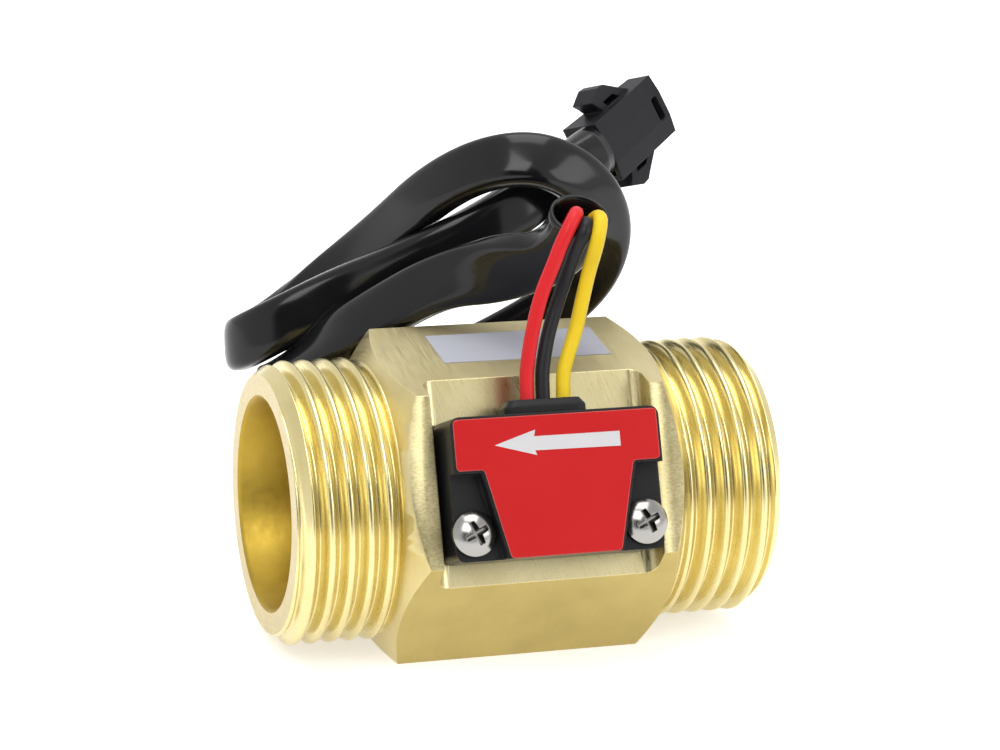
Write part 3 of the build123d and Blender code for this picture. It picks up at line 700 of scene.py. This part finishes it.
def makeSleeve(settings):
    guide = makeCurve("sleeveGuide", sleeveRoute, 0.0, 10)
    line = lineOf(guide)
    bpy.data.objects.remove(guide)
    ways = wideWays(line, settings["facings"], settings["smoothing"])
    steps = settings["roundSteps"]
    travelled = [0.0]
    for before, after in zip(line, line[1:]):
        travelled.append(travelled[-1] + (after - before).length / mm)
    total = travelled[-1]

    def ring(index, inset):
        along, wide, thin = ways[index]
        fromStart = travelled[index]
        fromEnd = total - fromStart
        openStart = max(0.0, 1 - fromStart / settings["mouthReach"]) ** 1.5
        openEnd = max(0.0, 1 - fromEnd / settings["mouthReach"])
        flare = max(openStart, openEnd)
        waver = 0.05 * sin(fromStart * 0.11) + 0.03 * sin(fromStart * 0.23 + 1)
        middle, spread, gain = settings["kink"]
        wider = 1 - waver * 0.4 + gain * exp(-((fromStart - middle) / spread) ** 2)
        width = settings["width"] * wider * (1 - flare) + settings["mouthWidth"] * flare
        thickness = settings["thickness"] * (1 + waver) * (1 - flare) + settings["mouthThickness"] * flare
        points = []
        for step in range(steps):
            angle = tau * step / steps
            power = settings["squareness"] * (1 - flare) + flare
            across = abs(cos(angle)) ** power * (1 if cos(angle) > 0 else -1)
            outward = abs(sin(angle)) ** power * (1 if sin(angle) > 0 else -1)
            sideways = wide * (across * (width / 2 - inset) * mm)
            points.append(line[index] + sideways + thin * (outward * (thickness / 2 - inset) * mm))
        return points

    rings = []
    deep = next(i for i, t in enumerate(travelled) if t > settings["innerDepth"])
    deepEnd = next(i for i, t in enumerate(travelled) if t > total - settings["innerDepthEnd"])
    for index in range(deep, -1, -1):
        rings.append(ring(index, settings["wall"]))
    rings.append(ring(0, 0.0))
    for index in range(1, len(line)):
        rings.append(ring(index, 0.0))
    for index in range(len(line) - 1, deepEnd, -1):
        rings.append(ring(index, settings["wall"]))
    vertices = [tuple(point) for points in rings for point in points]
    faces = []
    for row in range(len(rings) - 1):
        for step in range(steps):
            corner = row * steps + step
            beside = row * steps + (step + 1) % steps
            faces.append((corner, beside, beside + steps, corner + steps))
    data = bpy.data.meshes.new("cableSleeve")
    data.from_pydata(vertices, [], faces)
    data.polygons.foreach_set("use_smooth", [True] * len(data.polygons))
    data.materials.append(looks["sleeve_black"])
    sleeve = bpy.data.objects.new("cableSleeve", data)
    bpy.context.collection.objects.link(sleeve)
    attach(sleeve, "housing")
    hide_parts("cable_sleeve")
    print("sleeve length", round(total, 1))


def makeWires():
    route = [Vector(point) for point in sleeveRoute]
    ways = wideWays(route, sleeveSettings["facings"], 0)

    def inSleeve(index, across, up, out=0.0):
        along, wide, thin = ways[index]
        return tuple(route[index] + (wide * across + thin * up - along * out) * mm)

    for name, settings in wireSettings.items():
        points = list(settings["front"])
        points += [inSleeve(0, across, up, out) for across, up, out in settings["over"]]
        points += [inSleeve(index, *settings["place"]) for index in range(1, len(route) - 1)]
        wire = makeCurve(name, points + settings["tail"], wireSize["diameter"] / 2, 6)
        wire.data.materials.append(looks[settings["look"]])
        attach(wire, "housing")
        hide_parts(settings["node"])


makeSleeve(sleeveSettings)
makeWires()
print("lead made")


# Floor, light and surroundings

lightSettings = {
    "key": {"place": (-0.35, -0.45, 0.75), "size": 0.5, "power": 3.3},
    "fill": {"place": (0.55, -0.45, 0.35), "size": 0.4, "power": 1.3},
    "top": {"place": (0.05, 0.15, 0.8), "size": 0.6, "power": 3.4},
}

floorSettings = {"side": 1.5, "colour": (0.9, 0.9, 0.9), "lift": 0.5}
roomSettings = {
    "roomLow": (0.3, 0.3, 0.3),
    "roomHigh": (0.6, 0.6, 0.6),
    "overhead": (0.8, 0.8, 0.8),
    "opening": (-0.31, -0.87, 0.39),
    "openingEdge": (0.86, 0.92),  # cosines of the opening's outer and inner half width
    "openingColour": (0.06, 0.06, 0.06),
}


def addLights(settings):
    for name, lamp in settings.items():
        data = bpy.data.lights.new(name, "AREA")
        data.size = lamp["size"]
        data.energy = lamp["power"]
        light = bpy.data.objects.new(name, data)
        bpy.context.collection.objects.link(light)
        light.location = lamp["place"]
        toward = Vector((0, 0, 0.02)) - light.location
        light.rotation_euler = toward.to_track_quat("-Z", "Y").to_euler()


# The floor is lit like any pale board, and what it lacks to white is added where it is seen
def addFloor(settings):
    data = bpy.data.meshes.new("floor")
    side = settings["side"]
    corners = [(-side, -side, 0), (side, -side, 0), (side, side, 0), (-side, side, 0)]
    data.from_pydata(corners, [], [(0, 1, 2, 3)])
    floor = bpy.data.objects.new("floor", data)
    bpy.context.collection.objects.link(floor)
    material, tree, shader = newMaterial("floor")
    shader.inputs["Base Color"].default_value = (*settings["colour"], 1)
    shader.inputs["Roughness"].default_value = 0.8
    shader.inputs["Emission Color"].default_value = (1, 1, 1, 1)
    glow = doMath(tree, "MULTIPLY", seenRays(tree), settings["lift"])
    tree.links.new(glow, shader.inputs["Emission Strength"])
    data.materials.append(material)


# 1 for rays from the camera, from glossy surfaces and through clear ones
def seenRays(tree):
    paths = addNode(tree, "ShaderNodeLightPath")
    mirrored = doMath(tree, "MAXIMUM", paths.outputs["Is Glossy Ray"], paths.outputs["Is Transmission Ray"])
    return doMath(tree, "MAXIMUM", paths.outputs["Is Camera Ray"], mirrored)


# White backdrop all round, darker overhead, with the dark opening that the camera looks through
def addWorld(settings):
    world = bpy.data.worlds.new("studio")
    bpy.context.scene.world = world
    world.use_nodes = True
    tree = world.node_tree
    background = next(node for node in tree.nodes if node.type == "BACKGROUND")
    place = addNode(tree, "ShaderNodeTexCoord").outputs["Generated"]
    height = addNode(tree, "ShaderNodeSeparateXYZ", {0: place}).outputs["Z"]
    roomShare = rangeOf(tree, height, -0.1, 0.9, 0.0, 1.0)
    overheadShare = rangeOf(tree, height, 0.2, 0.75, 0.0, 1.0)
    room = mixColour(tree, roomShare, settings["roomLow"], settings["roomHigh"])
    backdrop = mixColour(tree, overheadShare, (1.0, 1.0, 1.0), settings["overhead"])
    opening = Vector(settings["opening"]).normalized()
    toward = addNode(tree, "ShaderNodeVectorMath", {0: place, 1: tuple(opening)}, operation="DOT_PRODUCT")
    dark = rangeOf(tree, toward.outputs["Value"], *settings["openingEdge"], 0.0, 1.0)
    backdrop = mixColour(tree, dark, backdrop, settings["openingColour"])
    tree.links.new(mixColour(tree, seenRays(tree), room, backdrop), background.inputs["Color"])
    background.inputs["Strength"].default_value = 1.0


addLights(lightSettings)
addFloor(floorSettings)
addWorld(roomSettings)
bpy.context.scene.view_settings.view_transform = "Standard"
print("stage and light made")
